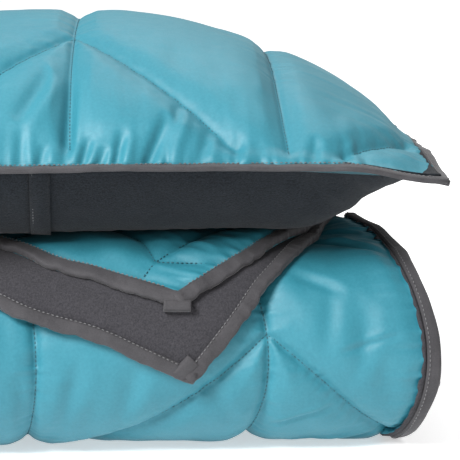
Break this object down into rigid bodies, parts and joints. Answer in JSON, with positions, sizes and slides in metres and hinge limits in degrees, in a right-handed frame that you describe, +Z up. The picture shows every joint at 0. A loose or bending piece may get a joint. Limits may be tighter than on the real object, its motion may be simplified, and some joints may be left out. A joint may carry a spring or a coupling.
{
  "type": "quilted camp blanket set",
  "caption": "Quilted nylon camp blanket with fleece lining, folded flat with one corner turned over the front, and its stuffed matching pillow on top.",
  "frame": {"origin": "on the floor under the middle of the whole set's box", "axes": "+X to the right along the long side, +Y to the back, +Z up"},
  "size_m": [0.6456, 0.4736, 0.372],
  "materials": {
    "shell_cloth": "satin woven nylon",
    "fleece": "matte brushed fleece",
    "binding_tape": "matte woven tape",
    "batting": "soft white polyester fibre",
    "ticking": "plain white cotton"
  },
  "bodies": {
    "blanket": {"blanket_batting": "batting", "blanket_lining": "fleece", "blanket_shell": "shell_cloth", "end_binding_lower_ply": "binding_tape", "end_binding_upper_ply": "binding_tape", "side_binding_inner_ply": "binding_tape", "side_binding_outer_ply": "binding_tape", "turned_fold_batting": "batting", "turned_fold_binding": "binding_tape", "turned_fold_shell": "shell_cloth", "turned_lower_batting": "batting", "turned_lower_binding": "binding_tape", "turned_lower_lining": "fleece", "turned_lower_shell": "shell_cloth", "turned_upper_batting": "batting", "turned_upper_binding": "binding_tape", "turned_upper_lining": "fleece", "turned_upper_shell": "shell_cloth"},
    "upper_corner": {"upper_corner_batting": "batting", "upper_corner_binding_left": "binding_tape", "upper_corner_binding_right": "binding_tape", "upper_corner_lining": "fleece", "upper_corner_shell": "shell_cloth", "upper_corner_tab": "binding_tape"},
    "lower_corner": {"lower_corner_batting": "batting", "lower_corner_binding_left": "binding_tape", "lower_corner_binding_right": "binding_tape", "lower_corner_lining": "fleece", "lower_corner_shell": "shell_cloth", "lower_corner_tab": "binding_tape"},
    "pillow": {"insert_fill": "batting", "insert_ticking": "ticking", "pillow_back_inner_panel": "fleece", "pillow_back_opening_hem": "fleece", "pillow_back_outer_panel": "fleece", "pillow_binding_back": "binding_tape", "pillow_binding_front": "binding_tape", "pillow_binding_left": "binding_tape", "pillow_binding_right": "binding_tape", "pillow_corner_tabs": "binding_tape", "pillow_face_batting": "batting", "pillow_face_shell": "shell_cloth"}
  },
  "joints": [
    {"name": "pillow_lift", "type": "slide", "parent": "blanket", "child": "pillow", "axis": [0, 0, 1], "range_m": [0, 0.25]},
    {"name": "upper_corner_lift", "type": "hinge", "parent": "blanket", "child": "upper_corner", "pos_m": [0.08, -0.16605, 0.18236], "axis": [-1, 0, 0], "range_deg": [0, 60]},
    {"name": "lower_corner_lift", "type": "hinge", "parent": "blanket", "child": "lower_corner", "pos_m": [0.08, -0.16605, 0.18236], "axis": [-1, 0, 0], "range_deg": [0, 36]}
  ],
  "couplings": [
    {"joint": "lower_corner_lift", "follows": "upper_corner_lift", "ratio": 0.6}
  ]
}
